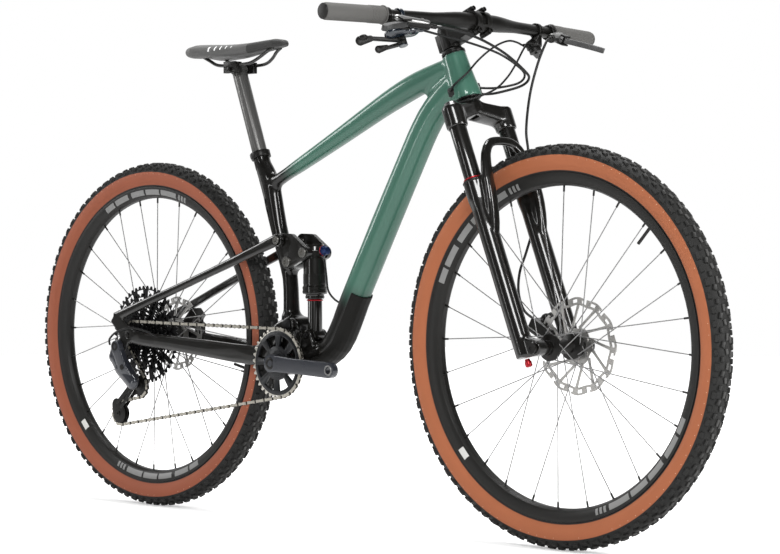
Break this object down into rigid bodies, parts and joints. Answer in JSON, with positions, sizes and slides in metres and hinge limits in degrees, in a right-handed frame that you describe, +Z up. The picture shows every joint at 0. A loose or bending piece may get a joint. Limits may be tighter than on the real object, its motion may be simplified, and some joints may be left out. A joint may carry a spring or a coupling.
{
  "type": "mountain bike",
  "caption": "Full-suspension mountain bike with a steering telescopic fork, linked rear suspension, spinning wheels and drivetrain, disc brakes and a height-adjustable saddle.",
  "frame": {"origin": "on the ground, in the middle plane, midway between the two axles", "axes": "+X forward, +Y to the rider's left, +Z up"},
  "size_m": [1.8599, 0.7474, 0.9989],
  "materials": {
    "frame_paint": "gloss, fading to gloss black",
    "black_paint": "gloss",
    "black_alloy": "satin anodised",
    "crank_alloy": "satin",
    "steel": "brushed",
    "dark_steel": "satin",
    "tyre": "black tread with tan sidewalls",
    "rubber": "matte",
    "cable": "satin",
    "cover": "matte",
    "black_plastic": "satin",
    "blue_black": "gloss",
    "red_alloy": "anodised",
    "blue_alloy": "anodised"
  },
  "bodies": {
    "frame": {"front_triangle": "frame_paint", "headset_cups": "black_alloy", "down_tube_guard": "black_plastic", "bottom_bracket": "black_alloy", "seat_clamp": "black_alloy", "main_pivot_axle": "dark_steel", "shock_shaft": "black_alloy", "chain": "steel", "control_cables": "cable", "shock_cable": "cable"},
    "seat": {"seatpost": "black_alloy", "saddle_clamp": "black_alloy", "saddle_cover": "cover", "saddle_rails": "dark_steel"},
    "steering": {"fork_crown": "black_paint", "stanchions": "black_alloy", "stem": "black_alloy", "stem_faceplate": "black_alloy", "headset_spacers": "black_alloy", "handlebar": "black_alloy", "grips": "rubber", "brake_masters": "black_alloy", "shifter_body": "blue_black", "remote_body": "black_plastic", "fork_cables": "cable"},
    "right_lever": {"brake_lever_right": "black_alloy"},
    "left_lever": {"brake_lever_left": "black_alloy"},
    "main_paddle": {"shift_paddle_main": "black_plastic"},
    "release_paddle": {"shift_paddle_release": "black_plastic"},
    "lockout": {"lockout_lever": "black_plastic"},
    "lower_fork": {"fork_lowers": "black_paint", "front_axle": "black_alloy", "front_caliper": "black_alloy"},
    "rebound": {"rebound_knob": "red_alloy"},
    "front_wheel": {"front_tyre": "tyre", "front_rim": "black_alloy", "front_spokes": "steel", "front_hub": "black_alloy", "front_rotor": "steel"},
    "rear_end": {"swingarm": "black_paint", "rear_axle": "black_alloy", "rear_caliper": "black_alloy", "derailleur_body": "crank_alloy", "rear_shift_loop": "cable"},
    "rear_wheel": {"rear_tyre": "tyre", "rear_rim": "black_alloy", "rear_spokes": "steel", "rear_hub": "black_alloy", "rear_rotor": "steel"},
    "cogs": {"cassette": "dark_steel"},
    "crankset": {"drive_crank_arm": "crank_alloy", "left_crank_arm": "crank_alloy", "chainring": "dark_steel"},
    "rocker": {"rocker_link": "black_paint", "rocker_bolts": "dark_steel"},
    "shock": {"shock_can": "black_alloy"},
    "dial": {"shock_dial": "blue_alloy"},
    "cage": {"derailleur_cage": "crank_alloy"},
    "guide_wheel": {"guide_pulley": "black_plastic"},
    "tension_wheel": {"tension_pulley": "black_plastic"}
  },
  "joints": [
    {"name": "steering", "type": "hinge", "parent": "frame", "child": "steering", "pos_m": [0.52106, 0, 0.35187], "axis": [-0.3665, 0, 0.9304], "range_deg": [-60, 60], "deforming": ["control_cables"]},
    {"name": "fork_travel", "type": "slide", "parent": "steering", "child": "lower_fork", "axis": [-0.3665, 0, 0.9304], "range_m": [0, 0.1], "stiffness_N_per_m": 6000, "springref_m": -0.02, "deforming": ["fork_cables"]},
    {"name": "front_wheel_spin", "type": "hinge", "parent": "lower_fork", "child": "front_wheel", "pos_m": [0.562, 0, 0.368], "axis": [0, 1, 0], "continuous": true},
    {"name": "rebound_turn", "type": "hinge", "parent": "lower_fork", "child": "rebound", "pos_m": [0.53995, -0.069, 0.34212], "axis": [-0.3665, 0, 0.9304], "range_deg": [-180, 180]},
    {"name": "rear_suspension", "type": "hinge", "parent": "frame", "child": "rear_end", "pos_m": [-0.118, 0, 0.397], "axis": [0, 1, 0], "range_deg": [0, 13.2], "stiffness_Nm_per_rad": 1400, "springref_deg": -3.44, "deforming": ["chain"]},
    {"name": "rocker_turn", "type": "hinge", "parent": "frame", "child": "rocker", "pos_m": [-0.122, 0, 0.523], "axis": [0, 1, 0], "range_deg": [0, 49]},
    {"name": "shock_stroke", "type": "slide", "parent": "frame", "child": "shock", "axis": [0, 0, -1], "range_m": [0, 0.041], "deforming": ["shock_cable"]},
    {"name": "shock_dial_turn", "type": "hinge", "parent": "shock", "child": "dial", "pos_m": [-0.046, 0, 0.545], "axis": [1, 0, 0], "range_deg": [0, 90]},
    {"name": "rear_wheel_spin", "type": "hinge", "parent": "rear_end", "child": "rear_wheel", "pos_m": [-0.562, 0, 0.368], "axis": [0, 1, 0], "continuous": true},
    {"name": "crank_spin", "type": "hinge", "parent": "frame", "child": "crankset", "pos_m": [-0.13, 0, 0.32], "axis": [0, 1, 0], "continuous": true},
    {"name": "cassette_spin", "type": "hinge", "parent": "rear_end", "child": "cogs", "pos_m": [-0.562, 0, 0.368], "axis": [0, 1, 0], "continuous": true},
    {"name": "cage_swing", "type": "hinge", "parent": "rear_end", "child": "cage", "pos_m": [-0.548, -0.062, 0.27], "axis": [0, 1, 0], "range_deg": [-12, 30], "stiffness_Nm_per_rad": 1.5},
    {"name": "guide_pulley_spin", "type": "hinge", "parent": "cage", "child": "guide_wheel", "pos_m": [-0.545, -0.0618, 0.26], "axis": [0, 1, 0], "continuous": true},
    {"name": "tension_pulley_spin", "type": "hinge", "parent": "cage", "child": "tension_wheel", "pos_m": [-0.607, -0.0618, 0.199], "axis": [0, 1, 0], "continuous": true},
    {"name": "seatpost_height", "type": "slide", "parent": "frame", "child": "seat", "axis": [-0.341, 0, 0.9401], "range_m": [-0.07, 0.02]},
    {"name": "right_brake", "type": "hinge", "parent": "steering", "child": "right_lever", "pos_m": [0.38488, -0.22422, 0.94956], "axis": [-0.3788, 0.0531, -0.9239], "range_deg": [0, 20], "stiffness_Nm_per_rad": 0.6, "springref_deg": -5.73},
    {"name": "left_brake", "type": "hinge", "parent": "steering", "child": "left_lever", "pos_m": [0.38488, 0.22422, 0.94956], "axis": [0.3788, 0.0531, 0.9239], "range_deg": [0, 20], "stiffness_Nm_per_rad": 0.6, "springref_deg": -5.73},
    {"name": "shift_main", "type": "hinge", "parent": "steering", "child": "main_paddle", "pos_m": [0.36033, -0.20708, 0.92402], "axis": [-0.3664, 0.0239, 0.9302], "range_deg": [0, 35], "stiffness_Nm_per_rad": 0.3, "springref_deg": -5.73},
    {"name": "shift_release", "type": "hinge", "parent": "steering", "child": "release_paddle", "pos_m": [0.36289, -0.20725, 0.91751], "axis": [-0.3664, 0.0239, 0.9302], "range_deg": [0, 15], "stiffness_Nm_per_rad": 0.3, "springref_deg": -5.73},
    {"name": "lockout_push", "type": "hinge", "parent": "steering", "child": "lockout", "pos_m": [0.34299, 0.18721, 0.92958], "axis": [0.3664, 0.0239, -0.9302], "range_deg": [0, 25], "stiffness_Nm_per_rad": 0.3, "springref_deg": -5.73}
  ],
  "couplings": [
    {"joint": "rocker_turn", "follows": "rear_suspension", "ratio": 3.684},
    {"joint": "shock_stroke", "follows": "rear_suspension", "m_per_rad": 0.1762},
    {"joint": "cassette_spin", "follows": "crank_spin", "ratio": 2.4286},
    {"joint": "guide_pulley_spin", "follows": "crank_spin", "ratio": -2.8333},
    {"joint": "tension_pulley_spin", "follows": "crank_spin", "ratio": 2.8333}
  ]
}
